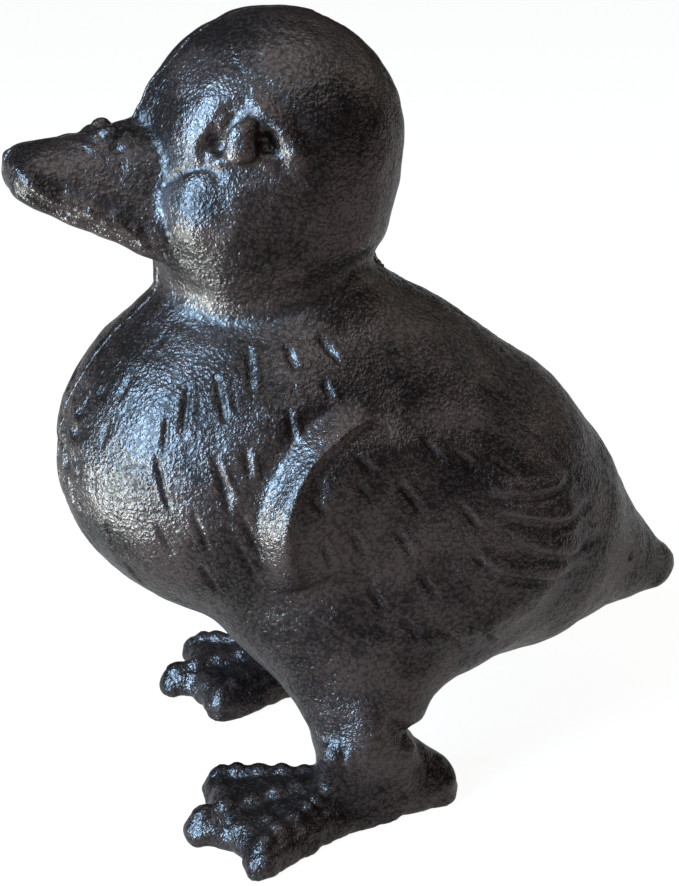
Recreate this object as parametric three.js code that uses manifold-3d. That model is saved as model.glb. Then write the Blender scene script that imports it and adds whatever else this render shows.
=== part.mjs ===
// A small cast iron duck that stands on its own two webbed feet, in millimetres.
// It is a hollow casting in a left and a right half, which meet on the duck's middle plane.
// One slotted machine screw goes in from the right flank and draws the halves together.
// The duck faces -Y, its own left side is +X, and the ground is z = 0.

import * as THREE from 'three';
import { mergeVertices } from 'three/addons/utils/BufferGeometryUtils.js';
import Module from 'manifold-3d';

const wasm = await Module();
wasm.setup();

// The whole duck, from its bill to its tail and from the ground to its crown
const duckLength = 109.3;
const duckHeight = 120;

// Stance. The left foot stands one stride ahead of the right.
const ankleSpacing = 43.5;
const stride = 6.5;
const bellyClearance = 14;

// Torso, measured over the iron
const breastWidth = 57;
const breastLength = 66;
const breastHeight = 55;
const breastAheadOfAnkles = 11.3;
const breastAboveRump = 13.1;
const rumpWidth = 56;
const rumpLength = 51.7;
const rumpHeight = 55.4;
const rumpPitch = 32;
const rumpBehindBreast = 27.1;
const shoulderRadius = 16;
const shoulderBehindBreast = 13.5;
const shoulderAboveBreast = 5.5;
const tailRootRadius = 15.9;
const tailTipRadius = 4.9;
const tailRootBehindRump = 21.6;
const tailRootBelowRump = 9.8;
const tailDrop = 7.2;
const thighRadius = 14.7;
const thighBehindAnkle = 7.7;
const thighAheadOfAnkle = 2.5;
const thighInsideAnkle = 7;
const thighAboveBelly = 16.2;

// Head
const headWidth = 37;
const headLength = 38.8;
const headHeight = 38.2;
const headBehindBreast = 1.2;
const jowlRadius = 18.1;
const jowlAheadOfHead = 1.5;
const jowlBelowHead = 11.3;
const cheekRadius = 9.5;
const cheekSpacing = 17;
const cheekAheadOfHead = 8.4;
const cheekBelowHead = 9;
const eyeWidth = 5;
const eyeHeight = 6.2;
const eyeBulge = 2.2;
const eyeAheadOfHead = 8.4;
const eyeAboveHead = 3;

// Bill
const billRootWidth = 24;
const billTipWidth = 14.5;
const billRootAheadOfHead = 15.4;
const billRootBelowHead = 1.1;
const billReach = 20.6;
const billDip = 0.6;
const ridgeRootRadius = 5.2;
const ridgeTipRadius = 2.9;
const ridgeBreadth = 1.5;
const lipRootRadius = 3.7;
const lipTipRadius = 2.9;
const lipRootBelowRidge = 11.9;
const lipTipBelowRidge = 2.1;
const billDepthRadius = 7.4;
const billBreadth = 1.35;
const nostrilDiameter = 3;
const nostrilSpacing = 6.8;
const nostrilAheadOfRoot = 9;

// Wings
const wingLength = 52;
const wingHeight = 36;
const wingPitch = 9;
const wingRelief = 2;
const wingBehindBreast = 17;
const wingBelowBreast = 8;

// Feet
const shinRadius = 6.3;
const shinHeight = 16;
const instepRadius = 7;
const toeRootRadius = 4.6;
const toeTipRadius = 3.2;
const toeRise = 1.6;
const innerToeLength = 22.2;
const middleToeLength = 25.7;
const outerToeLength = 21.9;
const toeSpread = 28;
const toeOutturn = 4;
const webRadius = 3.3;
const webReach = 0.86;
const heelRadius = 4.9;
const heelLength = 11;
const tendonRadius = 4.4;
const tendonLength = 7.5;
const tendonRise = 3;

// Iron, and the screw and lugs that hold the halves together
const wall = 4.5;
const seamGap = 0.3;
const screwDiameter = 5;
const screwHeadDiameter = 9.2;
const screwHeadHeight = 3;
const screwRimHeight = 1.4;
const slotWidth = 1.3;
const slotDepth = 1.6;
const headRecess = 1.2;
const screwClearance = 0.3;
const threadDepth = 13;
const bossWall = 3.2;
const screwBehindBreast = 16;
const screwBelowBreast = 7;
const lugDiameter = 3.4;
const lugLength = 2.2;
const lugClearance = 0.3;
const lugPadDiameter = 9;
const lugPadDepth = 7;

// Fillets where the forms flow into each other
const trunkFillet = 12;
const neckFillet = 8;
const headFillet = 4;
const wingFillet = 4;
const wingRootFillet = 2;
const billFillet = 3;
const shinFillet = 5;
const toeFillet = 2.5;

// How finely the casting is faceted
const torsoCell = 3.5;
const billCell = 2.3;
const footCell = 2.1;
const cavityCell = 5.5;
const roundSides = 20;
const crownSteps = 3;
const shortestEdge = 0.03;

// Places on the middle plane, ahead of the ankles and above the ground
const at = (left, forward, up) => new THREE.Vector3(left, -forward, up);
const from = (place, ahead, above, left = 0) => at(place.x + left, ahead - place.y, place.z + above);
const pitchAngle = THREE.MathUtils.degToRad(rumpPitch);
const rumpDepth = Math.hypot(rumpLength * Math.sin(pitchAngle), rumpHeight * Math.cos(pitchAngle)) / 2;
const breast = at(0, breastAheadOfAnkles, bellyClearance + rumpDepth + breastAboveRump);
const rump = from(breast, -rumpBehindBreast, -breastAboveRump);
const shoulder = from(breast, -shoulderBehindBreast, shoulderAboveBreast);
const tailRoot = from(rump, -tailRootBehindRump, -tailRootBelowRump);
const wing = from(breast, -wingBehindBreast, -wingBelowBreast);
const head = at(0, breastAheadOfAnkles - headBehindBreast, duckHeight - headHeight / 2);
const jowl = from(head, jowlAheadOfHead, -jowlBelowHead);
const billRoot = from(head, billRootAheadOfHead, -billRootBelowHead);
const billTip = from(billRoot, billReach, -billDip);
const tailTip = from(billTip, ridgeTipRadius - duckLength + tailTipRadius, 0)
  .setZ(tailRoot.z - tailDrop);
const screw = from(breast, -screwBehindBreast, -screwBelowBreast);

// An ellipsoid form. Pitch turns it nose up, in degrees.
function ball(centre, width, length, height, pitch = 0) {
  const cos = Math.cos(THREE.MathUtils.degToRad(pitch));
  const sin = Math.sin(THREE.MathUtils.degToRad(pitch));
  return (p) => {
    const x = (p.x - centre.x) / (width / 2);
    const y = ((p.y - centre.y) * cos - (p.z - centre.z) * sin) / (length / 2);
    const z = ((p.y - centre.y) * sin + (p.z - centre.z) * cos) / (height / 2);
    const near = Math.hypot(x, y, z);
    const slope = Math.hypot(x / (width / 2), y / (length / 2), z / (height / 2));
    return slope > 0 ? near * (near - 1) / slope : -height / 2;
  };
}

// A bar whose radius changes evenly from one end to the other. Breadth is how many times as wide
// as it is high its section is at each end.
function bar(start, end, startRadius, endRadius, startBreadth = 1, endBreadth = 1) {
  const axis = end.clone().sub(start);
  const offset = new THREE.Vector3();
  return (p) => {
    offset.subVectors(p, start);
    const share = THREE.MathUtils.clamp(offset.dot(axis) / axis.lengthSq(), 0, 1);
    offset.addScaledVector(axis, -share);
    offset.x /= THREE.MathUtils.lerp(startBreadth, endBreadth, share);
    return offset.length() - THREE.MathUtils.lerp(startRadius, endRadius, share);
  };
}

// Joins forms with a fillet about as wide as the softness.
function join(softness, first, ...others) {
  return others.reduce((whole, next) => (p) => {
    const a = whole(p);
    const b = next(p);
    const overlap = Math.max(softness - Math.abs(a - b), 0) / softness;
    return Math.min(a, b) - overlap * overlap * softness / 4;
  }, first);
}

// What two forms share, with its edge rounded by the softness.
function common(softness, first, second) {
  const outside = join(softness, (p) => -first(p), (p) => -second(p));
  return (p) => -outside(p);
}

// The same form with its surface moved out, or in where the amount is negative.
const grown = (form, amount) => (p) => form(p) - amount;

// The distance from a point inside a form to its surface.
function reach(form, from, direction) {
  const point = from.clone();
  for (let pass = 0; pass < 60; pass += 1) point.addScaledVector(direction, -form(point) / 2);
  return point.distanceTo(from);
}

// Wraps a form in a closed mesh, with a point in each cell that the surface crosses and a face
// round each grid line that it crosses. Each point is then drawn onto the surface.
function skin(form, region, cell) {
  const low = region.min.clone().divideScalar(cell).floor().multiplyScalar(cell);
  const count = region.max.clone().sub(low).divideScalar(cell).ceil().addScalar(1);
  const [across, along, up] = count.toArray();
  const step = [1, across, across * along];
  const corner = (i, j, k) => new THREE.Vector3(i, j, k).multiplyScalar(cell).add(low);
  const depth = new Float32Array(across * along * up);
  for (let n = 0; n < depth.length; n += 1) {
    depth[n] = form(corner(n % across, Math.floor(n / across) % along, Math.floor(n / step[2])));
  }
  const positions = [];
  const pointOf = new Map();
  const pointIn = (i, j, k) => {
    const home = i + j * step[1] + k * step[2];
    if (!pointOf.has(home)) {
      const crossings = [];
      for (let a = 0; a < 8; a += 1) {
        for (const bit of [1, 2, 4].filter((side) => !(a & side))) {
          const ends = [a, a | bit].map((n) => [n & 1, (n >> 1) & 1, n >> 2]);
          const [start, end] = ends.map(([x, y, z]) => depth[home + x + y * step[1] + z * step[2]]);
          if (start < 0 === end < 0) continue;
          const [from, to] = ends.map(([x, y, z]) => corner(i + x, j + y, k + z));
          crossings.push(from.lerp(to, start / (start - end)));
        }
      }
      const middle = new THREE.Vector3();
      for (const crossing of crossings) middle.addScaledVector(crossing, 1 / crossings.length);
      settle(middle, form, cell);
      pointOf.set(home, positions.length / 3);
      positions.push(...middle.toArray());
    }
    return pointOf.get(home);
  };
  const faces = [];
  for (let k = 1; k < up - 1; k += 1) {
    for (let j = 1; j < along - 1; j += 1) {
      for (let i = 1; i < across - 1; i += 1) {
        const home = i + j * step[1] + k * step[2];
        for (let axis = 0; axis < 3; axis += 1) {
          if (depth[home] < 0 === depth[home + step[axis]] < 0) continue;
          const around = [[0, 0], [1, 0], [1, 1], [0, 1]].map(([u, v]) => {
            const cellAt = [i, j, k];
            cellAt[(axis + 1) % 3] -= u;
            cellAt[(axis + 2) % 3] -= v;
            return pointIn(...cellAt);
          });
          if (depth[home] >= 0) around.reverse();
          faces.push(...halved(around, positions));
        }
      }
    }
  }
  const geometry = new THREE.BufferGeometry();
  geometry.setAttribute('position', new THREE.Float32BufferAttribute(positions, 3));
  geometry.setIndex(faces);
  return solid(geometry);
}

// Draws a point along the form's slope onto its surface, no further than a third of a cell.
function settle(point, form, cell) {
  const probe = cell / 50;
  const moved = point.clone();
  for (let pass = 0; pass < 3; pass += 1) {
    const here = form(moved);
    const slope = new THREE.Vector3(
      form(moved.clone().setX(moved.x + probe)) - here,
      form(moved.clone().setY(moved.y + probe)) - here,
      form(moved.clone().setZ(moved.z + probe)) - here,
    ).divideScalar(probe);
    moved.addScaledVector(slope, -here / Math.max(slope.lengthSq(), 0.25));
  }
  point.add(moved.sub(point).clampLength(0, cell / 3));
}

// Splits a four-sided face across its shorter diagonal.
function halved([a, b, c, d], positions) {
  const gap = (m, n) => new THREE.Vector3()
    .fromArray(positions, 3 * m)
    .distanceTo(new THREE.Vector3().fromArray(positions, 3 * n));
  return gap(a, c) < gap(b, d) ? [a, b, c, a, c, d] : [a, b, d, b, c, d];
}

// A closed geometry as a solid that can be joined and cut.
function solid(geometry) {
  const bare = geometry.clone();
  bare.deleteAttribute('normal');
  bare.deleteAttribute('uv');
  const merged = mergeVertices(bare, 1e-4);
  return new wasm.Manifold(new wasm.Mesh({
    numProp: 3,
    vertProperties: new Float32Array(merged.attributes.position.array),
    triVerts: new Uint32Array(merged.index.array),
  }));
}

// A solid as a named mesh. Corners that a cut left almost on one another become one corner.
function mesh(name, body, material) {
  const { vertProperties, triVerts } = body.getMesh();
  const positions = new THREE.Float32BufferAttribute(vertProperties, 3);
  const place = (n) => new THREE.Vector3().fromBufferAttribute(positions, n);
  const joined = Array.from({ length: positions.count }, (_, n) => n);
  const root = (n) => (joined[n] === n ? n : root(joined[n]));
  const corners = Array.from(triVerts);
  corners.forEach((here, n) => {
    const next = n % 3 === 2 ? corners[n - 2] : corners[n + 1];
    if (place(here).distanceTo(place(next)) < shortestEdge) joined[root(here)] = root(next);
  });
  const faces = [];
  for (let n = 0; n < corners.length; n += 3) {
    const face = corners.slice(n, n + 3).map(root);
    if (new Set(face).size === 3) faces.push(...face);
  }
  const geometry = new THREE.BufferGeometry();
  geometry.setAttribute('position', positions);
  geometry.setIndex(faces);
  geometry.computeVertexNormals();
  const piece = new THREE.Mesh(geometry, material);
  piece.name = name;
  return piece;
}

const fuse = ([first, ...others]) => others.reduce((whole, next) => whole.add(next), first);

function cylinderAlongX(radius, fromLeft, toLeft, middle) {
  const geometry = new THREE.CylinderGeometry(radius, radius, toLeft - fromLeft, roundSides);
  geometry.rotateZ(Math.PI / 2);
  geometry.translate((fromLeft + toLeft) / 2, middle.y, middle.z);
  return solid(geometry);
}

function box(low, high) {
  const size = high.clone().sub(low);
  const geometry = new THREE.BoxGeometry(size.x, size.y, size.z);
  geometry.translate((low.x + high.x) / 2, (low.y + high.y) / 2, (low.z + high.z) / 2);
  return solid(geometry);
}

function knob(centre, width, length, height) {
  const geometry = new THREE.SphereGeometry(0.5, roundSides / 2, roundSides / 2 - 2);
  geometry.scale(width, length, height);
  geometry.translate(...centre.toArray());
  return solid(geometry);
}

const sides = [-1, 1];
const round = (centre, radius) => ball(centre, 2 * radius, 2 * radius, 2 * radius);

// Torso, tail, thighs and head in one flowing form, with the wings raised on the flanks
const trunkForm = join(
  trunkFillet,
  ball(breast, breastWidth, breastLength, breastHeight),
  ball(rump, rumpWidth, rumpLength, rumpHeight, rumpPitch),
  round(shoulder, shoulderRadius),
  bar(tailRoot, tailTip, tailRootRadius, tailTipRadius),
);
const ankles = sides.map((side) => at(side * ankleSpacing / 2, side * stride / 2, 0));
const thighForms = sides.flatMap((side, n) => [-thighBehindAnkle, thighAheadOfAnkle].map((ahead) => bar(
  from(ankles[n], ahead, bellyClearance + thighAboveBelly, -side * thighInsideAnkle),
  from(ankles[n], 0, shinHeight),
  thighRadius,
  shinRadius,
)));
const headForm = ball(head, headWidth, headLength, headHeight);
const jowlForm = round(jowl, jowlRadius);
const cheekForms = sides.map((side) => round(
  from(head, cheekAheadOfHead, -cheekBelowHead, side * cheekSpacing / 2),
  cheekRadius,
));
const throughBody = 100 * breastWidth;
const wingOutline = ball(wing, throughBody, wingLength, wingHeight, wingPitch);
const wingForm = common(wingFillet, grown(trunkForm, wingRelief), wingOutline);
const neckedForm = join(neckFillet, trunkForm, jowlForm, ...thighForms);
const bodyForm = join(wingRootFillet, join(headFillet, neckedForm, headForm, ...cheekForms), wingForm);

// The bill, a rounded wedge with a ridge along its top and a lip along each edge
const billForm = join(
  billFillet,
  bar(billRoot, billTip, ridgeRootRadius, ridgeTipRadius, ridgeBreadth, ridgeBreadth),
  bar(
    from(billRoot, 0, -lipRootBelowRidge / 2),
    from(billTip, 0, -lipTipBelowRidge / 2),
    billDepthRadius,
    ridgeTipRadius,
    billBreadth,
    billBreadth,
  ),
  ...sides.map((side) => bar(
    from(billRoot, 0, -lipRootBelowRidge, side * (billRootWidth / 2 - lipRootRadius)),
    from(billTip, 0, -lipTipBelowRidge, side * (billTipWidth / 2 - lipTipRadius)),
    lipRootRadius,
    lipTipRadius,
  )),
);

// The hollow, left by one sand core that reaches from the rump up into the head
const cavityForm = grown(join(
  neckFillet,
  ball(breast, breastWidth, breastLength, breastHeight),
  ball(rump, rumpWidth, rumpLength, rumpHeight, rumpPitch),
  jowlForm,
  headForm,
), -wall);

const around = (places, margin) => new THREE.Box3().setFromPoints(places).expandByScalar(margin);
const region = around([breast, tailTip, head], breastLength);
const billRegion = around([billRoot, billTip], billRootWidth);
const eyes = sides.map((side) => {
  const socket = from(head, eyeAheadOfHead, eyeAboveHead);
  const skull = reach(headForm, socket, at(side, 0, 0));
  return knob(from(socket, 0, 0, side * skull), 2 * eyeBulge, eyeWidth, eyeHeight);
});
const nostrils = sides.map((side) => {
  const base = from(billRoot, nostrilAheadOfRoot, 0, side * nostrilSpacing / 2);
  const roof = reach(billForm, base, at(0, 0, 1));
  return knob(from(base, 0, roof), nostrilDiameter, nostrilDiameter, nostrilDiameter);
});
const outside = fuse([
  skin(bodyForm, region, torsoCell),
  skin(billForm, billRegion, billCell),
  ...eyes,
  ...nostrils,
]);
const cavity = skin(cavityForm, region, cavityCell);

// One webbed foot with its shin, with the middle of its ankle at the origin
const toeTip = (angle, length) => {
  const turn = THREE.MathUtils.degToRad(angle + toeOutturn);
  return at(length * Math.sin(turn), length * Math.cos(turn), toeRise);
};
const toeTips = [
  toeTip(-toeSpread, innerToeLength),
  toeTip(0, middleToeLength),
  toeTip(toeSpread, outerToeLength),
];
const sole = at(0, 0, toeRise);
const toeForms = toeTips.map((tip) => bar(sole, tip, toeRootRadius, toeTipRadius));
const webForms = [0, 1].map((n) => {
  const edge = toeTips[n].clone().lerp(toeTips[n + 1], 0.5).multiplyScalar(webReach);
  return bar(sole, edge, webRadius, webRadius);
});
const footForm = join(
  toeFillet,
  join(
    shinFillet,
    bar(at(0, 0, shinHeight), at(0, -shinRadius / 2, shinHeight + shinRadius), shinRadius, shinRadius),
    bar(at(0, 0, shinHeight), at(0, 0, instepRadius / 2), shinRadius, instepRadius),
    bar(at(0, 0, shinHeight), at(0, -tendonLength, toeRise + tendonRise), shinRadius, tendonRadius),
  ),
  ...toeForms,
  ...webForms,
  bar(sole, from(sole, -heelLength, 0), heelRadius, heelRadius),
);
const footRegion = around([sole, at(0, 0, shinHeight), ...toeTips], 3 * shinRadius);
const foot = skin(footForm, footRegion, footCell)
  .intersect(box(footRegion.min.clone().setZ(0), footRegion.max));
const feet = sides.map((side, n) => foot
  .scale([side, 1, 1])
  .translate([ankles[n].x, ankles[n].y, 0]));

// Bosses and lug pads inside the halves, and the holes and lugs that go in them
const seam = seamGap / 2;
const flank = reach(bodyForm, screw, at(1, 0, 0));
const seat = flank - headRecess - screwHeadHeight;
const holeRadius = screwDiameter / 2 + screwClearance;
const headHoleRadius = screwHeadDiameter / 2 + screwClearance;
const threadHole = cylinderAlongX(holeRadius, 0, seam + threadDepth + screwClearance, screw);
const screwHole = fuse([
  cylinderAlongX(holeRadius, -flank, 0, screw),
  cylinderAlongX(headHoleRadius, -2 * flank, screwClearance - seat, screw),
]);
const lugPlaces = [[head, 1], [rump, -1]].map(([middle, upward]) => {
  const ceiling = reach(cavityForm, middle, at(0, 0, upward));
  return from(middle, 0, upward * (ceiling - lugPadDiameter / 4));
});
const lugRod = (radius, start, end) => fuse(lugPlaces.map(
  (place) => cylinderAlongX(radius, start, end, place),
));
const lugs = lugRod(lugDiameter / 2, -seam - lugLength, lugPadDepth / 2);
const sockets = lugRod(lugDiameter / 2 + lugClearance, -seam - lugLength - lugClearance, 0);
const fittings = fuse([
  cylinderAlongX(holeRadius + bossWall, -flank, flank, screw),
  lugRod(lugPadDiameter / 2, -lugPadDepth, lugPadDepth),
]);

// The two halves, cut apart on the middle plane
const shell = outside.subtract(cavity).add(fittings.intersect(outside));
const leftSide = box(region.min.clone().setX(seam), region.max);
const rightSide = box(region.min, region.max.clone().setX(-seam));
const leftHalf = fuse([shell, feet[1]]).intersect(leftSide).subtract(threadHole).add(lugs);
const rightHalf = fuse([shell, feet[0]]).intersect(rightSide).subtract(fuse([screwHole, sockets]));

// The screw, turned about its own axis and then laid along X with its head to the right
function slottedScrew() {
  const radius = screwDiameter / 2;
  const headRadius = screwHeadDiameter / 2;
  const length = seat + seam + threadDepth;
  const tip = radius / 4;
  const crown = Array.from({ length: crownSteps }, (_, n) => n * Math.PI / 2 / crownSteps).map((turn) => [
    headRadius * Math.cos(turn),
    screwRimHeight + (screwHeadHeight - screwRimHeight) * Math.sin(turn),
  ]);
  const profile = [
    [0, -length],
    [radius - tip, -length],
    [radius, tip - length],
    [radius, 0],
    [headRadius, 0],
    ...crown,
    [0, screwHeadHeight],
  ].map(([x, y]) => new THREE.Vector2(x, y));
  const geometry = new THREE.LatheGeometry(profile, roundSides);
  geometry.rotateZ(Math.PI / 2);
  geometry.translate(-seat, screw.y, screw.z);
  const slotFloor = slotDepth - screwHeadHeight - seat;
  const slot = box(
    new THREE.Vector3(-2 * flank, screw.y - slotWidth / 2, screw.z - screwHeadDiameter),
    new THREE.Vector3(slotFloor, screw.y + slotWidth / 2, screw.z + screwHeadDiameter),
  );
  return solid(geometry).subtract(slot);
}

const iron = new THREE.MeshStandardMaterial({ color: 0x2e2624, roughness: 0.42, metalness: 0.6 });
const steel = new THREE.MeshStandardMaterial({ color: 0x4a4542, roughness: 0.38, metalness: 0.9 });

const duck = new THREE.Group();
duck.add(mesh('left_half', leftHalf, iron));
duck.add(mesh('right_half', rightHalf, iron));
duck.add(mesh('joining_screw', slottedScrew(), steel));

// The origin is on the ground, under the middle of the whole duck.
const extent = new THREE.Box3().setFromObject(duck, true);
duck.position.y = -(extent.min.y + extent.max.y) / 2;

export default duck;
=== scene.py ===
import math
import random

import bmesh
import bpy
import numpy as np
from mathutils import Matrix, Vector, noise
from mathutils.bvhtree import BVHTree


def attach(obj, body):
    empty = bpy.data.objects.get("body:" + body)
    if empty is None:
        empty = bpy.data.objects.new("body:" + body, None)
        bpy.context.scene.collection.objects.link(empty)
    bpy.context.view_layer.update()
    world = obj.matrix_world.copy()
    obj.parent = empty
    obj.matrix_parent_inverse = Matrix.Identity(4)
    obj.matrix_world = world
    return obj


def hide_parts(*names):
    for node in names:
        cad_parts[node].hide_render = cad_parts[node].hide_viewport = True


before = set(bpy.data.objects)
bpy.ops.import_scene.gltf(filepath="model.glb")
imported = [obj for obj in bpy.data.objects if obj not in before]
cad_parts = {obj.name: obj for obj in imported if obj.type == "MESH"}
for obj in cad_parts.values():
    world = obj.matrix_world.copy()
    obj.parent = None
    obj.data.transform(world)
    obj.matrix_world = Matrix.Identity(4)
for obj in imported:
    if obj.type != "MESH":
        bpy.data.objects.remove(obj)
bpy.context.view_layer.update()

# The two iron halves of the duck are thin hollow sand castings, each poured in a mould of its own and
# filed flat along the seam. Each starts here as an even copy of its solid, and is then carved, as the
# moulder cut the face, the wings, the feathers and the toes into the pattern.
MM = 0.001
MM_PER_METRE = 1000
CASTING_GRID = 0.47
SHARP_EDGE = math.radians(48)
SEAM = 0.15


def casting_blank(node):
    """An even, dense copy of a half's solid, before any carving."""
    half = bpy.data.objects.new(node + "_casting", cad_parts[node].data.copy())
    bpy.context.collection.objects.link(half)
    half.data.materials.clear()
    shell = bmesh.new()
    shell.from_mesh(half.data)
    bmesh.ops.remove_doubles(shell, verts=shell.verts, dist=0.001 * MM)
    crease = shell.edges.layers.float.new("crease_edge")
    for edge in shell.edges:
        if edge.calc_face_angle(0) > SHARP_EDGE:
            edge[crease] = 1.0
    shell.to_mesh(half.data)
    shell.free()
    rounding = half.modifiers.new("rounding", "SUBSURF")
    rounding.levels = 2
    rounding.render_levels = 2
    grid = half.modifiers.new("grid", "REMESH")
    grid.mode = "VOXEL"
    grid.voxel_size = CASTING_GRID * MM
    relax = half.modifiers.new("relax", "SMOOTH")
    relax.factor = 0.5
    relax.iterations = 6
    even = bpy.data.meshes.new_from_object(half.evaluated_get(bpy.context.evaluated_depsgraph_get()))
    half.modifiers.clear()
    half.data = even
    return half


class Carving:
    """A half's points in millimetres, as (out to its own side, forward, up), with what carves them."""

    def __init__(self, half):
        self.half = half
        self.mesh = half.data
        points = np.empty(len(self.mesh.vertices) * 3, np.float32)
        self.mesh.vertices.foreach_get("co", points)
        points = points.reshape(-1, 3) * MM_PER_METRE
        self.facing = np.array([1 if points[:, 0].mean() > 0 else -1, -1, 1], np.float32)
        self.points = points * self.facing
        edges = np.empty(len(self.mesh.edges) * 2, np.int32)
        self.mesh.edges.foreach_get("vertices", edges)
        self.edges = edges.reshape(-1, 2)
        self.skin = self.outside()
        self.seat()
        self.look()

    def outside(self):
        """The points of the outer skin, without the seam face, the hollow and the holes."""
        on_seam = self.points[:, 0] < SEAM + 0.12
        edges = self.edges[~on_seam[self.edges].any(axis=1)]
        island = np.arange(len(self.points))
        while True:
            lowest = np.minimum(island[edges[:, 0]], island[edges[:, 1]])
            grown = island.copy()
            np.minimum.at(grown, edges[:, 0], lowest)
            np.minimum.at(grown, edges[:, 1], lowest)
            grown = grown[grown]
            if (grown == island).all():
                break
            island = grown
        crown = np.argmax(self.points[:, 2] - 1000 * on_seam)
        return (island == island[crown]).astype(np.float32)

    def seat(self):
        """Puts the moved points back in the casting and takes the new slopes of its skin."""
        self.mesh.vertices.foreach_set("co", (self.points * self.facing / MM_PER_METRE).ravel())
        self.mesh.update()
        normals = np.empty(len(self.points) * 3, np.float32)
        self.mesh.vertex_normals.foreach_get("vector", normals)
        self.normals = normals.reshape(-1, 3) * self.facing

    def look(self):
        """Takes the present surface as the one that lines are laid on."""
        self.half.data.update_tag()
        bpy.context.view_layer.update()
        self.tree = BVHTree.FromObject(self.half, bpy.context.evaluated_depsgraph_get())

    def cast(self, start, way):
        """The place on the skin that a straight line meets first."""
        start = Vector(start) * Vector(self.facing.tolist()) * MM
        hit = self.tree.ray_cast(start, Vector(way) * Vector(self.facing.tolist()))[0]
        if hit is None:
            hit = self.tree.find_nearest(start)[0]
        return np.array(hit) * self.facing * MM_PER_METRE

    def nearest(self, place):
        """The place on the skin that is nearest to a point."""
        hit = self.tree.find_nearest(Vector(place) * Vector(self.facing.tolist()) * MM)[0]
        return np.array(hit) * self.facing * MM_PER_METRE

    def flank(self, forward, up):
        """The place on the skin that shows at a point of the side view."""
        return self.cast((60, forward, up), (-1, 0, 0))

    def path(self, places, step=1.5):
        """A smooth line over the skin through places on it or in the side view, as many points."""
        ends = [Vector(self.flank(*place)) if len(place) == 2 else Vector(place) for place in places]
        ends = [ends[0] * 2 - ends[1], *ends, ends[-1] * 2 - ends[-2]]
        line = []
        for before, start, end, after in zip(ends, ends[1:], ends[2:], ends[3:]):
            count = max(int((end - start).length / step), 1)
            for number in range(count):
                share = number / count
                line.append(0.5 * (
                    2 * start + (end - before) * share
                    + (2 * before - 5 * start + 4 * end - after) * share ** 2
                    + (3 * start - before - 3 * end + after) * share ** 3
                ))
        line.append(ends[-2])
        return [self.nearest(point) for point in line]

    def beside(self, line, reach):
        """The skin's points near a line: which, how far off, how far along it, and on which side."""
        line = np.array(line)
        low = line.min(0) - reach
        high = line.max(0) + reach
        near = np.nonzero(((self.points > low) & (self.points < high)).all(axis=1) & (self.skin > 0))[0]
        here = self.points[near]
        best = np.full(len(near), 1e9)
        along = np.zeros(len(near))
        side = np.zeros(len(near))
        lengths = np.linalg.norm(np.diff(line, axis=0), axis=1)
        gone = 0
        for start, end, length in zip(line, line[1:], lengths):
            span = end - start
            share = np.clip((here - start) @ span / max(length, 1e-6) ** 2, 0, 1)
            offset = here - start - share[:, None] * span
            distance = np.linalg.norm(offset, axis=1)
            closer = distance < best
            best[closer] = distance[closer]
            along[closer] = (gone + share[closer] * length) / lengths.sum()
            side[closer] = (offset @ np.array([0, -span[2], span[1]]))[closer]
            gone += length
        return near, best, along, side

    def stroke(self, line, width, height, taper=0.25):
        """Raises a rounded ridge along a line over the skin, or cuts a groove where height is below 0."""
        near, best, along = self.beside(line, width)[:3]
        rise = np.clip(1 - best / width, 0, 1)
        rise = rise * rise * (3 - 2 * rise)
        if taper:
            rise *= np.clip(np.minimum(along, 1 - along) / taper, 0, 1) ** 0.5
        self.points[near] += self.normals[near] * (height * rise)[:, None]

    def dome(self, centre, radii, height, power=1.0):
        """Raises a rounded boss over an ellipsoid's reach, or sinks a hollow where height is below 0."""
        offset = (self.points - centre) / np.array(radii, float)
        reach = np.clip(1 - (offset ** 2).sum(axis=1), 0, 1) ** power * self.skin
        self.points += self.normals * (height * reach)[:, None]

    def push(self, line, width, way):
        """Moves the iron around a line one way, the seam's rim too, as a filled corner or a bulge."""
        line = [np.array(place) for place in line]
        best = np.full(len(self.points), 1e9)
        for start, end in zip(line, line[1:]):
            span = end - start
            share = np.clip((self.points - start) @ span / (span @ span), 0, 1)
            best = np.minimum(best, np.linalg.norm(self.points - start - share[:, None] * span, axis=1))
        reach = np.clip(1 - best / width, 0, 1)
        reach = reach * reach * (3 - 2 * reach)
        self.points += reach[:, None] * np.array(way)


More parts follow.
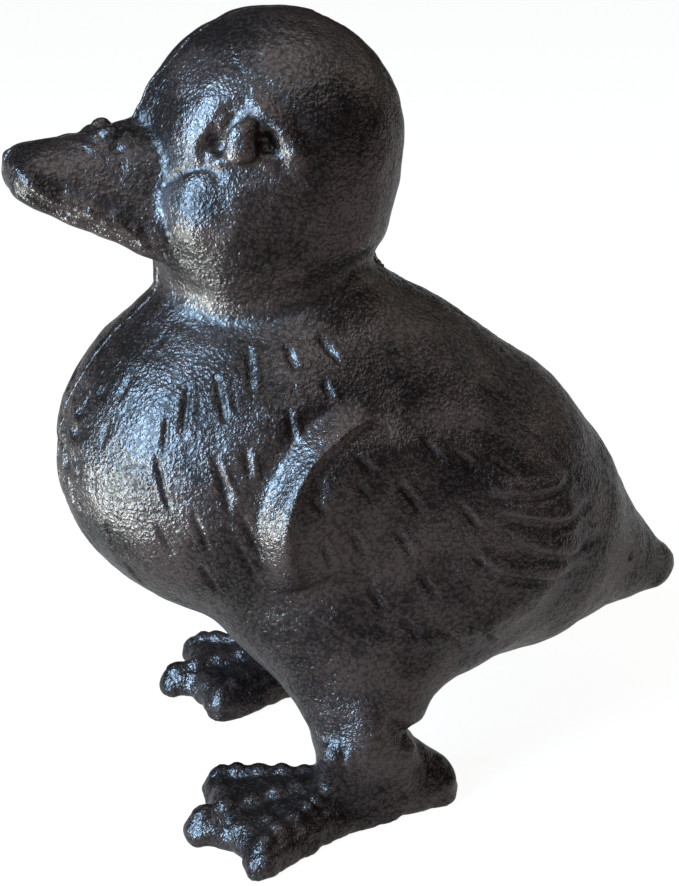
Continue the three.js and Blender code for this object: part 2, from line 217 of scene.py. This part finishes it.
# The face is cast in one with the head. A beady eye stands between two dark pits, under a heavy lid that
# comes down behind it, and a full cheek swells below a bent crease. A groove rings the neck.
def carve_face(iron):
    iron.push([(0, 34.4, 109.0), (0, 36.2, 105.6)], 6.0, (0, 1.1, 0.2))
    iron.push([(0, 36.0, 104.8), (0, 37.0, 103.6)], 3.6, (0, 1.2, 0.3))
    iron.seat()

    iron.dome(iron.nearest((17.5, 22.0, 104.5)), (8, 7.5, 6.5), -0.6)
    brow = iron.path([
        (12.3, 23.3, 112.7), (12.5, 26.9, 109.1), (11.3, 30.3, 104.3), (8.8, 32.7, 100.5),
    ])
    iron.stroke(brow, 5.5, 0.6, 0.3)
    iron.dome(iron.nearest((12.7, 31.6, 94.4)), (6.5, 6.0, 7.5), 0.95, 1.3)
    iron.seat()
    iron.dome(iron.nearest((17.8, 25.5, 105.5)), (5, 3.3, 3.8), 1.3, 0.7)
    iron.seat()

    front_pit = iron.path([
        (15.6, 24.4, 108.2), (15.4, 25.8, 106.4), (15.2, 27.0, 104.2), (14.9, 28.2, 102.0),
    ])
    iron.stroke(front_pit, 2.7, -1.8, 0.35)
    iron.dome(iron.nearest((14.6, 28.4, 102.8)), (2.4, 2.4, 2.2), -0.9)
    back_pit = iron.path([(17.2, 21.4, 105.4), (17.4, 21.0, 103.8), (17.6, 21.0, 101.9)])
    iron.stroke(back_pit, 2.4, -1.4, 0.35)
    iron.seat()

    lower_lid = iron.path([
        (14.0, 28.8, 100.8), (16.4, 25.9, 102.2), (17.8, 22.8, 101.8), (18.1, 19.4, 100.6),
    ])
    iron.stroke(lower_lid, 2.2, 1.0, 0.3)
    upper_lid = iron.path([
        (15.2, 23.4, 108.8), (16.0, 21.6, 108.0), (17.0, 19.6, 106.5), (17.7, 18.1, 104.3),
        (18.1, 17.1, 102.1), (18.3, 15.4, 100.6),
    ])
    iron.stroke(upper_lid, 2.9, 1.5, 0.2)
    iron.seat()

    crease = iron.path([
        (8.7, 34.6, 96.4), (9.1, 33.4, 97.5), (11.9, 31.1, 99.3), (14.0, 28.8, 100.3),
        (15.2, 27.5, 99.6), (15.8, 27.7, 97.8),
    ])
    iron.stroke(crease, 2.2, -0.35, 0.3)
    iron.stroke(crease, 0.9, -0.45, 0.2)
    bill_root = iron.path([(8.0, 35.2, 98.6), (9.1, 35.2, 95.4), (10.3, 36.0, 92.0)])
    iron.stroke(bill_root, 1.5, -0.35, 0.3)
    iron.seat()

    neck = iron.path([
        (1.0, 34.0, 81.6), (8.8, 31.9, 80.3), (13.3, 27.9, 78.9), (16.1, 22.1, 79.2), (17.0, 16.4, 80.4),
        (15.7, 10.1, 82.5), (12.5, 4.5, 84.2), (6.3, 0.1, 83.4), (0.4, -1.2, 83.2),
    ])
    iron.stroke(neck, 5.0, -1.0, 0)
    under_the_cheek = [place + np.array([0, 0, -0.8]) for place in neck[len(neck) // 4:]]
    iron.stroke(under_the_cheek, 1.8, -0.5, 0)
    nape = neck[-len(neck) // 3:]
    iron.stroke(nape, 3.2, -1.0, 0)
    iron.seat()


# The bill is flat above, over a thin lower bill, and solid iron right through. A rolled lip runs along each
# edge and breaks up into lumps, and a nostril is sunk beside the ridge where the bill leaves the forehead.
def carve_bill(iron):
    lip = iron.path([
        (2.4, 54.0, 100.6), (5.2, 53.0, 99.4), (7.2, 51.6, 97.9), (7.8, 49.2, 95.9), (8.5, 45.5, 94.4),
        (9.5, 41.6, 92.6), (10.4, 37.6, 90.6),
    ], 1.0)
    iron.stroke(lip, 1.5, 0.55, 0.1)
    iron.seat()
    above_lip = [place + np.array([-0.5, 0.0, 1.9]) for place in lip]
    iron.stroke([iron.nearest(place) for place in above_lip[5:]], 1.2, -0.35, 0.3)
    below_lip = [place + np.array([-0.3, 0.0, -2.0]) for place in lip]
    iron.stroke([iron.nearest(place) for place in below_lip[3:]], 1.0, -0.5, 0.15)
    iron.seat()

    dice = random.Random(11)
    for place in lip[8:]:
        for lump in range(3):
            spot = place + np.array([0, dice.uniform(-0.8, 0.8), dice.uniform(-1.9, 1.4)])
            iron.dome(spot, [dice.uniform(0.6, 1.2)] * 3, dice.uniform(-0.3, 0.35))
    iron.dome(iron.nearest((4.9, 40.0, 106.0)), (2.4, 2.4, 2.4), -0.7, 0.7)
    iron.seat()

    nostril_wing = iron.path([(3.6, 43.2, 103.4), (4.6, 40.2, 104.6), (5.2, 36.6, 104.2)])
    iron.stroke(nostril_wing, 2.4, 0.6, 0.3)
    nostril_rim = iron.path([
        (2.4, 43.4, 102.9), (3.0, 41.0, 104.0), (3.6, 38.6, 104.3), (4.4, 37.0, 103.8),
    ])
    iron.stroke(nostril_rim, 1.5, 0.6)
    iron.dome(iron.nearest((5.6, 39.6, 102.0)), (1.1, 1.1, 0.9), -0.5)
    bill_fold = iron.path([(1.9, 46.4, 102.6), (3.8, 43.6, 102.2), (5.9, 41.4, 101.0)])
    iron.stroke(bill_fold, 1.1, 0.3)
    iron.seat()


# The wings lie close on the flanks, in one casting with them. Each has a thick rolled leading edge that
# steps down to the breast, and flight feathers in crescents that lap over each other behind.
def lap(iron, line, rise, front, back, step=1.4, taper=0.3):
    """Raises the edge of an upper layer: a slope up to the line, a short step down, then a long run-out."""
    near, best, along, side = iron.beside(line, max(front, back))
    up = np.clip(1 - best / front, 0, 1)
    drop = np.clip(best / step, 0, 1)
    out = np.clip(best / back, 0, 1)
    behind = (1 - 0.6 * drop * drop * (3 - 2 * drop)) * (1 - out * out * (3 - 2 * out))
    edge = np.where(side > 0, 0.75 * up + 0.25 * up * up * (3 - 2 * up), behind)
    edge *= np.clip(np.minimum(along, 1 - along) / taper, 0, 1) ** 0.6
    iron.points[near] += iron.normals[near] * (rise * edge)[:, None]


def carve_wing(iron):
    leading_edge = iron.path([
        (9.6, 66.0), (13.0, 64.9), (16.6, 62.8), (19.6, 60.0), (22.0, 56.2), (23.2, 51.8), (22.9, 46.8),
        (20.9, 41.8),
    ])
    iron.stroke([place + np.array([0, 4.2, 1.0]) for place in leading_edge], 3.0, -0.6, 0.2)
    iron.seat()
    roll = [iron.nearest(place + np.array([0, -1.4, -0.6])) for place in leading_edge]
    lap(iron, roll, 2.4, 4.2, 10.0)
    iron.seat()
    iron.dome(iron.nearest((28.6, 17.6, 56.6)), (1.6, 1.6, 2.6), -0.7)
    iron.seat()

    first_crease = [
        (15.5, -9.0, 64.0), (18.6, -12.6, 62.4), (21.2, -17.0, 59.2), (22.0, -21.5, 55.2),
        (20.6, -26.7, 50.1),
    ]
    lower_creases = [
        [(28.6, -8.2, 52.9), (28.3, -13.5, 51.4), (26.7, -19.8, 50.7), (22.4, -25.1, 52.0)],
        [(29.2, -10.0, 49.5), (28.8, -15.8, 47.3), (27.3, -21.4, 45.9), (20.3, -29.2, 45.5)],
        [(29.7, -12.4, 45.0), (29.0, -17.6, 42.0), (24.6, -24.6, 39.6), (19.0, -31.6, 39.4)],
        [(30.1, -6.8, 41.6), (29.8, -13.3, 39.0), (27.0, -20.8, 36.9), (20.5, -28.2, 35.2)],
    ]
    feathers = [(first_crease, 0.35, 0.4)]
    feathers += [(crease, 0.5, 0.6) for crease in lower_creases]
    for crease, swell, cut in feathers:
        line = iron.path(crease)
        above = [iron.nearest(place + np.array([0.3, 0.4, 1.7])) for place in line]
        iron.stroke(above, 2.2, swell, 0.4)
        iron.stroke(line, 1.3, -cut, 0.35)
    iron.seat()
    lower_edge = iron.path([
        (18.2, 37.7), (13.3, 34.1), (8.2, 31.9), (2.0, 31.0), (-4.5, 31.0), (-10.7, 33.0), (-17.2, 36.6),
    ])
    iron.stroke(lower_edge, 2.0, 0.4, 0.2)
    iron.seat()


# The feathers are chisel cuts in the pattern, long ones on the breast and short ones that slant back over
# the wing, each with a low burr behind it. The sand left a pitted patch high on the breast.
def carve_feathers(iron, shift):
    dice = random.Random(5)
    cuts = [
        ((24.2, 75.4), (25.1, 69.7)), ((18.9, 75.1), (18.5, 72.2)), ((14.1, 76.1), (11.5, 72.3)),
        ((14.8, 70.9), (14.0, 68.2)), ((29.3, 72.0), (29.1, 66.0)), ((33.0, 70.6), (34.9, 63.8)),
        ((20.5, 67.8), (20.1, 63.0)), ((27.0, 63.2), (26.5, 58.5)), ((31.1, 62.0), (29.5, 53.4)),
        ((38.5, 61.4), (37.2, 53.7)), ((39.1, 51.0), (36.5, 46.3)), ((34.3, 53.6), (32.0, 47.0)),
        ((28.2, 53.6), (25.0, 46.2)), ((29.2, 49.9), (25.1, 41.6)), ((33.2, 44.6), (30.0, 38.8)),
        ((30.6, 59.5), (28.9, 55.0)), ((36.3, 66.8), (37.4, 61.8)), ((12.2, 61.8), (9.1, 58.6)),
        ((6.1, 57.6), (2.2, 52.0)), ((-3.6, 52.5), (-6.6, 48.4)), ((17.7, 50.2), (15.6, 44.8)),
        ((13.6, 51.1), (10.5, 46.0)), ((6.7, 50.5), (3.7, 45.6)), ((19.0, 56.4), (16.7, 53.8)),
        ((-1.4, 32.5), (-4.8, 29.1)), ((-6.5, 32.8), (-11.5, 27.6)), ((10.2, 41.6), (7.4, 36.8)),
        ((2.8, 42.6), (-0.4, 38.2)), ((-3.4, 60.0), (-6.8, 57.0)), ((12.4, 58.2), (9.6, 54.8)),
        ((1.6, 62.4), (-1.6, 58.6)), ((-5.2, 45.0), (-9.4, 40.6)), ((-9.6, 57.6), (-14.2, 54.2)),
        ((5.4, 35.8), (2.2, 32.4)), ((-13.4, 34.4), (-18.8, 31.8)),
    ]
    for ends in cuts:
        moved = [(forward + dice.uniform(-shift, shift), up + dice.uniform(-shift, shift))
                 for forward, up in ends]
        line = iron.path(moved)
        iron.stroke(line, 0.8, -0.62, 0.4)
        iron.stroke([place + np.array([0.0, -1.0, 0.1]) for place in line], 0.8, 0.3, 0.4)

    breast_middle = Vector((0, 15.0, 53.0))
    breast_radius = 29
    for lift in range(40, -52, -13):
        for column in range(2):
            turn = math.radians(8 + column * 13 + dice.uniform(-6, 6))
            length = dice.uniform(3, 6)
            places = []
            for share in (0, 0.5, 1):
                tilt = math.radians(lift + 6 * column) - share * length / breast_radius
                way = Vector((
                    math.sin(turn) * math.cos(tilt),
                    math.cos(turn) * math.cos(tilt),
                    math.sin(tilt),
                ))
                places.append(tuple(iron.cast(breast_middle + way * 60, -way)))
            iron.stroke(iron.path(places), 0.9, dice.uniform(-0.55, -0.3), 0.4)
    iron.seat()

    for pit in range(34):
        spot = iron.cast((dice.uniform(0, 9), 60, dice.uniform(50, 68)), (0, -1, 0))
        iron.dome(spot, [dice.uniform(0.7, 1.5)] * 3, -dice.uniform(0.15, 0.45))
    iron.dome(iron.nearest((12.0, -42.4, 31.0)), (0.9, 0.9, 0.9), -0.6)
    iron.seat()


# Each leg and foot is solid iron, cast in one with its half. A lumpy hock runs down to the heel, a fold
# crosses it behind, and three knuckled toes spread in front with rough webs sunk between them.
def carve_foot(iron, ankle):
    model_ankle = 8.54

    def at(out, forward, up):
        """A place by the foot of the left leg, moved to this one."""
        return iron.nearest((out, forward - model_ankle + ankle[1], up))

    for angle in (-10, 18):
        turn = math.radians(angle)
        way = np.array([math.sin(turn), math.cos(turn)])
        web = [iron.nearest((*(ankle + reach * way), 6.0)) for reach in (10, 16, 22)]
        iron.stroke(web, 3.2, 0.3, 0)
        iron.dome(iron.nearest((*(ankle + 23.5 * way), 3.0)), (5, 5, 4), 0.8)
    iron.seat()

    dice = random.Random(3)
    for angle, length in ((-24, 25.0), (4, 28.4), (32, 24.7)):
        turn = math.radians(angle)
        way = np.array([math.sin(turn), math.cos(turn)])
        toe = [iron.nearest((*(ankle + way * length * share), 7.0)) for share in (0.35, 0.55, 0.75, 0.92)]
        iron.stroke(toe, 2.3, 1.0, 0.2)
        iron.seat()
        for share in (0.36, 0.5, 0.64, 0.78, 0.92):
            knuckle = iron.nearest((*(ankle + way * length * share), 7.0))
            iron.dome(knuckle, [dice.uniform(1.5, 2.0)] * 3, dice.uniform(0.5, 0.9))
    iron.seat()

    for crumb in range(40):
        spot = at(dice.uniform(14, 36), dice.uniform(12, 34), dice.uniform(2, 7))
        iron.dome(spot, [dice.uniform(0.7, 1.4)] * 3, dice.uniform(-0.35, 0.4))
    iron.dome(at(36.6, 29.8, 1.5), (3.4, 3.4, 3.4), 1.2)
    iron.dome(at(23.0, -4.2, 7.0), (6, 4.5, 5), 0.8)
    iron.seat()

    back = ankle[1] - model_ankle
    iron.push([(18.0, back + 2.4, 18.0), (25.5, back + 2.9, 18.0)], 5.8, (0, 0, -2.9))
    iron.push([(19.0, back - 0.8, 12.0), (25.0, back - 0.5, 12.0)], 4.5, (0, 1.3, 0))
    iron.push([(28.5, back + 15.0, 11.5), (27.0, back + 15.8, 8.0)], 5.5, (1.6, 1.8, 0))
    iron.seat()
    iron.look()
    fold = [
        at(18.0, 2.0, 14.6), at(21.0, 1.8, 14.5), at(24.5, 2.2, 14.5), at(27.4, 3.6, 15.0),
        at(29.0, 5.8, 17.0), at(29.3, 7.6, 19.0),
    ]
    iron.stroke(fold, 2.4, -1.4, 0.15)
    iron.seat()
    heel_side = [at(27.4, 4.4, 14.0), at(27.2, 3.0, 11.0), at(26.0, 0.6, 8.4)]
    iron.stroke(heel_side, 3.4, 0.8, 0.35)
    shin = [at(28.6, 9.4, 23.0), at(29.0, 9.6, 16.0), at(28.6, 9.0, 8.5)]
    iron.stroke(shin, 4.6, 1.0, 0.3)
    instep = [at(26.9, 14.2, 14.5), at(26.4, 15.8, 10.8), at(25.2, 18.0, 7.8)]
    iron.stroke(instep, 5.0, 0.9, 0.4)
    iron.seat()
    flash = [at(28.8, 12.4, 15.0), at(28.4, 13.0, 12.4), at(27.8, 13.0, 9.8), at(27.2, 12.2, 7.6)]
    iron.stroke([place + np.array([0, 1.1, 0]) for place in flash], 1.2, -0.5, 0.3)
    iron.stroke(flash, 0.9, 0.45, 0.3)
    iron.seat()


# Each half leaves the mould uneven all over, most of all at the feet. Its rim is then filed square, so
# that the two halves close in a fine line, and its sole is ground flat.
def grain(iron, size, height, seed, where=1):
    """Uneven lumps of about one size all over the skin."""
    spots = iron.points / size + seed
    swell = np.array([
        noise.noise(Vector(spot)) if on else 0 for spot, on in zip(spots.tolist(), iron.skin)
    ])
    iron.points += iron.normals * (height * swell * (iron.skin * where))[:, None]


def fill_rim(iron, depth):
    """Fills the corner that came out rounded along the seam, so that the halves meet in a fine line."""
    there = np.concatenate([iron.edges[:, 0], iron.edges[:, 1]])
    other = np.concatenate([iron.edges[:, 1], iron.edges[:, 0]])
    reach = iron.skin.astype(float)
    out = iron.normals * np.array([0, 1, 1]) * reach[:, None]
    for ring in range(3):
        touched = np.bincount(there, reach[other], len(reach)) > 0
        spread = np.stack([
            np.bincount(there, out[other, axis], len(reach)) for axis in range(3)
        ], axis=1)
        grown = touched & (reach == 0)
        out[grown] = spread[grown]
        reach[grown] = 1
    out /= np.maximum(np.linalg.norm(out, axis=1), 1e-6)[:, None]
    rim = np.clip(1 - (iron.points[:, 0] - SEAM) / 0.9, 0, 1) ** 1.5 * reach
    iron.points += out * (depth * rim)[:, None]


def mark_hollows(iron):
    """Keeps how far each point lies below the ground around it, in millimetres, by which the finish paints
    shade into the hollows and dulls them.
    """
    there = np.concatenate([iron.edges[:, 0], iron.edges[:, 1]])
    other = np.concatenate([iron.edges[:, 1], iron.edges[:, 0]])
    count = np.maximum(np.bincount(there, minlength=len(iron.points)), 1)
    around = iron.points.astype(float)
    for ring in range(8):
        for axis in range(3):
            around[:, axis] = np.bincount(there, around[other, axis], len(iron.points)) / count
    below = ((around - iron.points) * iron.normals).sum(axis=1)
    iron.mesh.attributes.new("below", "FLOAT", "POINT").data.foreach_set("value", below.astype(np.float32))


def thin_inside(iron):
    """Leaves few faces on the seam face and in the hollow, where nobody looks."""
    inside = iron.half.vertex_groups.new(name="inside")
    inside.add(np.nonzero(iron.skin < 1)[0].tolist(), 1.0, "REPLACE")
    corners = np.empty(len(iron.mesh.loops), np.int32)
    iron.mesh.loops.foreach_get("vertex_index", corners)
    hidden = (iron.skin[corners.reshape(-1, 4)] < 1).all(axis=1).mean()
    fewer = iron.half.modifiers.new("fewer", "DECIMATE")
    fewer.vertex_group = "inside"
    fewer.vertex_group_factor = 1000
    fewer.ratio = 1 - 0.94 * hidden
    seen = iron.half.evaluated_get(bpy.context.evaluated_depsgraph_get())
    thinned = bpy.data.meshes.new_from_object(seen)
    iron.half.modifiers.clear()
    iron.half.vertex_groups.clear()
    iron.half.data = thinned


cast_iron = bpy.data.materials.new("lacquered_iron")
for node, ankle, shift in (("left_half", (21.75, 8.54), 0.0), ("right_half", (21.75, 2.04), 0.9)):
    half = casting_blank(node)
    iron = Carving(half)
    carve_face(iron)
    carve_bill(iron)
    carve_wing(iron)
    iron.look()
    carve_feathers(iron, shift)
    carve_foot(iron, np.array(ankle))
    low = np.clip(1 - iron.points[:, 2] / 12, 0, 1)
    grain(iron, 7.0, 0.25, 3.0)
    grain(iron, 2.6, 0.12, 7.0)
    grain(iron, 2.4, 0.5, 5.0, low)
    iron.points[:, 2] = np.maximum(iron.points[:, 2], 0)
    iron.seat()
    fill_rim(iron, 0.32)
    close = np.clip(1 - (iron.points[:, 0] - SEAM) / 1.5, 0, 1)
    iron.points[:, 0] -= (SEAM + 0.01) * close
    iron.seat()
    mark_hollows(iron)
    thin_inside(iron)
    for face in half.data.polygons:
        face.use_smooth = True
    half.data.materials.append(cast_iron)
    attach(half, "root")
    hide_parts(node)

# The finish of both halves is a half-gloss lacquer, brown over black, brushed over the bare sand grain.
# The tops of the grains wear smooth, the hollows stay dull, and here and there the lacquer ran into broad
# thicker pools. Painted shade darkens the colour in the grain's creases and in the casting's hollows, and
# weakens the gloss in the creases.
cast_iron.use_nodes = True
finish = cast_iron.node_tree
lacquer = finish.nodes["Principled BSDF"]
lacquer.inputs["Metallic"].default_value = 0.0
lacquer.inputs["IOR"].default_value = 1.72
lacquer.inputs["Specular Tint"].default_value = (1.0, 0.74, 0.70, 1)
place = finish.nodes.new("ShaderNodeTexCoord").outputs["Object"]


def sand(finish, where, scale, detail, kind="ShaderNodeTexNoise"):
    """A pattern fixed in the metal, with its scale in grains to the metre."""
    pattern = finish.nodes.new(kind)
    pattern.inputs["Scale"].default_value = scale
    pattern.inputs["Detail"].default_value = detail
    finish.links.new(where, pattern.inputs["Vector"])
    return pattern


def mapped(finish, source, low, high, to_low, to_high):
    """A value moved from one range to another."""
    change = finish.nodes.new("ShaderNodeMapRange")
    change.inputs["From Min"].default_value = low
    change.inputs["From Max"].default_value = high
    change.inputs["To Min"].default_value = to_low
    change.inputs["To Max"].default_value = to_high
    finish.links.new(source, change.inputs["Value"])
    return change.outputs["Result"]


def total(finish, *layers):
    """Values laid over each other."""
    laid = layers[0]
    for layer in layers[1:]:
        add = finish.nodes.new("ShaderNodeMath")
        add.operation = "ADD"
        finish.links.new(laid, add.inputs[0])
        finish.links.new(layer, add.inputs[1])
        laid = add.outputs["Value"]
    return laid


wander = finish.nodes.new("ShaderNodeVectorMath")
wander.operation = "MULTIPLY_ADD"
wander.inputs[1].default_value = (0.001, 0.001, 0.001)
finish.links.new(sand(finish, place, 900, 1).outputs["Color"], wander.inputs[0])
finish.links.new(place, wander.inputs[2])
pebbles = sand(finish, wander.outputs["Vector"], 1550, 0, "ShaderNodeTexVoronoi")
crust = mapped(finish, pebbles.outputs["Distance"], 0.1, 0.75, 1, 0)
crackle = mapped(finish, sand(finish, place, 4200, 1).outputs["Fac"], 0.3, 0.7, 0, 0.45)
lumps = mapped(finish, sand(finish, place, 420, 3).outputs["Fac"], 0.3, 0.7, 0, 0.8)
pinholes = mapped(finish, sand(finish, place, 800, 3).outputs["Fac"], 0.6, 0.7, 0, -1)
bump = finish.nodes.new("ShaderNodeBump")
bump.inputs["Strength"].default_value = 1.0
bump.inputs["Distance"].default_value = 0.00007
finish.links.new(total(finish, crust, crackle, lumps, pinholes), bump.inputs["Height"])
finish.links.new(bump.outputs["Normal"], lacquer.inputs["Normal"])

hollows = finish.nodes.new("ShaderNodeAttribute")
hollows.attribute_name = "below"
below = hollows.outputs["Fac"]
worn_tops = mapped(finish, crust, 0.0, 0.75, 0.32, 0.11)
dull_hollows = mapped(finish, below, -0.1, 0.25, -0.03, 0.15)
finish.links.new(total(finish, worn_tops, dull_hollows), lacquer.inputs["Roughness"])

pools = sand(finish, place, 95, 2).outputs["Fac"]
# Painted shade in the gloss: the lacquer reflects less in the grain's creases and more on the tops.
gloss_with_painted_crease_shade = mapped(finish, crust, 0.0, 0.5, 0.32, 0.57)
flat_pools = mapped(finish, pools, 0.4, 0.6, 0.05, -0.2)
finish.links.new(total(finish, gloss_with_painted_crease_shade, flat_pools), lacquer.inputs["Specular IOR Level"])

tint = finish.nodes.new("ShaderNodeMix")
tint.data_type = "RGBA"
tint.inputs[6].default_value = (0.009, 0.0050, 0.0041, 1)
tint.inputs[7].default_value = (0.038, 0.0185, 0.0145, 1)
# Painted shade: the colour darkens in the casting's hollows, where shade would fall.
painted_hollow_shade = mapped(finish, below, -0.1, 0.3, 0.2, -0.7)
dark_pools = mapped(finish, pools, 0.4, 0.6, 0.25, -0.5)
# Painted shade: the colour darkens towards black in the grain's creases, and the tops keep the brown.
brown_tops_painted_crease_shade = mapped(finish, crust, 0.0, 0.7, 0, 0.8)
speckle = mapped(finish, sand(finish, place, 2600, 3).outputs["Fac"], 0.35, 0.65, -0.5, 0.5)
finish.links.new(total(finish, painted_hollow_shade, dark_pools, brown_tops_painted_crease_shade, speckle), tint.inputs[0])
finish.links.new(tint.outputs[2], lacquer.inputs["Base Color"])

# The screw that draws the halves together is a slotted round head machine screw of blackened steel, turned
# from bar and sunk in its recess on the right flank. Its blacking is rubbed bright in places and has gone
# brown with rust where damp got in.
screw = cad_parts["joining_screw"]
steel = bpy.data.materials.new("screw_steel")
steel.use_nodes = True
blacking = steel.node_tree
bar = blacking.nodes["Principled BSDF"]
bar.inputs["Metallic"].default_value = 0.85
place = blacking.nodes.new("ShaderNodeTexCoord").outputs["Object"]
worn = blacking.nodes.new("ShaderNodeMix")
worn.data_type = "RGBA"
worn.inputs[6].default_value = (0.03, 0.027, 0.026, 1)
worn.inputs[7].default_value = (0.16, 0.15, 0.14, 1)
rubbing = mapped(blacking, sand(blacking, place, 500, 5).outputs["Fac"], 0.42, 0.68, 0, 1)
blacking.links.new(rubbing, worn.inputs[0])
rusted = blacking.nodes.new("ShaderNodeMix")
rusted.data_type = "RGBA"
rusted.inputs[7].default_value = (0.17, 0.068, 0.03, 1)
rust = mapped(blacking, sand(blacking, place, 350, 6).outputs["Fac"], 0.55, 0.7, 0, 0.8)
blacking.links.new(rust, rusted.inputs[0])
blacking.links.new(worn.outputs[2], rusted.inputs[6])
blacking.links.new(rusted.outputs[2], bar.inputs["Base Color"])
dullness = mapped(blacking, sand(blacking, place, 1400, 4).outputs["Fac"], 0.3, 0.7, 0.3, 0.6)
blacking.links.new(dullness, bar.inputs["Roughness"])
scratches = blacking.nodes.new("ShaderNodeBump")
scratches.inputs["Distance"].default_value = 0.00003
blacking.links.new(sand(blacking, place, 3500, 3).outputs["Fac"], scratches.inputs["Height"])
blacking.links.new(scratches.outputs["Normal"], bar.inputs["Normal"])
screw.data.materials[0] = steel

# The table is one wide pale sheet, which the duck's two soles stand on. It looks white, keeps the duck's
# shadow, and shows only dimly in the lacquer, as the far end of a dark room would.
floor = bpy.data.objects.new("floor", bpy.data.meshes.new("floor"))
bpy.context.collection.objects.link(floor)
sheet = bmesh.new()
bmesh.ops.create_grid(sheet, x_segments=1, y_segments=1, size=4)
bmesh.ops.translate(sheet, vec=(0, 0, -0.05 * MM), verts=sheet.verts)
sheet.to_mesh(floor.data)
sheet.free()
white = bpy.data.materials.new("white_sheet")
white.use_nodes = True
paper = white.node_tree.nodes["Principled BSDF"]
paper.inputs["Base Color"].default_value = (0.13, 0.0975, 0.0725, 1)
paper.inputs["Roughness"].default_value = 0.9
paper.inputs["Emission Color"].default_value = (0.94, 0.94, 0.94, 1)


def whiteness(surroundings, in_gloss):
    """How white the surroundings look: wholly when seen straight on, and partly in the iron's gloss."""
    rays = surroundings.nodes.new("ShaderNodeLightPath")
    straight = surroundings.nodes.new("ShaderNodeMath")
    straight.operation = "MAXIMUM"
    surroundings.links.new(rays.outputs["Is Camera Ray"], straight.inputs[0])
    surroundings.links.new(rays.outputs["Is Transmission Ray"], straight.inputs[1])
    share = surroundings.nodes.new("ShaderNodeMath")
    share.operation = "MULTIPLY_ADD"
    share.inputs[1].default_value = in_gloss
    surroundings.links.new(rays.outputs["Is Glossy Ray"], share.inputs[0])
    surroundings.links.new(straight.outputs["Value"], share.inputs[2])
    return share.outputs["Value"]


white.node_tree.links.new(whiteness(white.node_tree, in_gloss=0.35), paper.inputs["Emission Strength"])
floor.data.materials.append(white)

# Beyond the table stands a plain white backdrop, as wide as the room. The room itself is dark, and that
# is what the lacquer reflects all round.
world = bpy.data.worlds.new("room")
bpy.context.scene.world = world
world.use_nodes = True
walls = world.node_tree
room = walls.nodes["Background"]
room.inputs["Color"].default_value = (0.8, 0.85, 0.9, 1)
room.inputs["Strength"].default_value = 0.0075
backdrop = walls.nodes.new("ShaderNodeBackground")
backdrop.inputs["Color"].default_value = (1, 1, 1, 1)
backdrop.inputs["Strength"].default_value = 1.0
behind = walls.nodes.new("ShaderNodeMixShader")
walls.links.new(whiteness(walls, in_gloss=0.02), behind.inputs["Fac"])
walls.links.new(room.outputs["Background"], behind.inputs[1])
walls.links.new(backdrop.outputs["Background"], behind.inputs[2])
walls.links.new(behind.outputs["Shader"], walls.nodes["World Output"].inputs["Surface"])


# Daylight comes from a tall window in front of the duck, on its left. It also lights the table before the
# bill, which shines up from below, and faintly the ceiling, a wall at the side and one behind the tail.
def area_lamp(name, place, aim, size, radiance, colour):
    """A bright pane of one size, which faces a point."""
    lamp = bpy.data.objects.new(name, bpy.data.lights.new(name, "AREA"))
    bpy.context.collection.objects.link(lamp)
    lamp.data.shape = "RECTANGLE"
    lamp.data.size, lamp.data.size_y = size
    lamp.data.energy = radiance * math.pi * size[0] * size[1]
    lamp.data.color = colour
    lamp.location = place
    lamp.rotation_euler = (Vector(aim) - Vector(place)).to_track_quat("-Z", "Y").to_euler()


area_lamp("window", (0.251, -0.772, 0.372), (0, 0, 0.06), (0.50, 0.86), 26, (0.33, 0.67, 1.0))
area_lamp("near_table", (0.014, -0.20, 0.004), (0.014, -0.20, 1), (0.075, 0.16), 17.5, (0.74, 1.0, 1.0))
area_lamp("far_table", (0.063, -0.446, 0.013), (0.055, -0.388, 1), (0.165, 0.34), 18, (0.74, 1.0, 1.0))
area_lamp("ceiling", (0.25, 0.12, 0.92), (0, 0, 0.06), (0.8, 0.9), 1.25, (0.85, 1.0, 1.0))
area_lamp("side_wall", (0.712, -0.191, 0.576), (0, 0, 0.06), (0.45, 0.45), 0.95, (0.7, 0.9, 1.0))
area_lamp("tail_wall", (-0.40, 1.20, 1.00), (0, 0, 0.05), (1.0, 1.3), 0.45, (0.95, 1.0, 0.93))

# The camera stands 280 mm off on the duck's left, a little ahead of it, and looks down on the middle of
# its body.
camera = bpy.data.objects.new("camera", bpy.data.cameras.new("camera"))
bpy.context.collection.objects.link(camera)
camera.data.lens = 72.33
camera.data.sensor_width = 36
camera.data.shift_x = 0.0006
camera.data.shift_y = 0.0056
camera.data.clip_start = 0.01
round_from_front = math.radians(72.5)
height_angle = math.radians(20.6)
distance = 0.28
back = Vector((
    math.sin(round_from_front) * math.cos(height_angle),
    -math.cos(round_from_front) * math.cos(height_angle),
    math.sin(height_angle),
))
camera.location = Vector((0, -0.00529, 0.0515)) + back * distance
camera.rotation_euler = (-back).to_track_quat("-Z", "Y").to_euler()
bpy.context.scene.camera = camera
bpy.context.scene.view_settings.view_transform = "Standard"
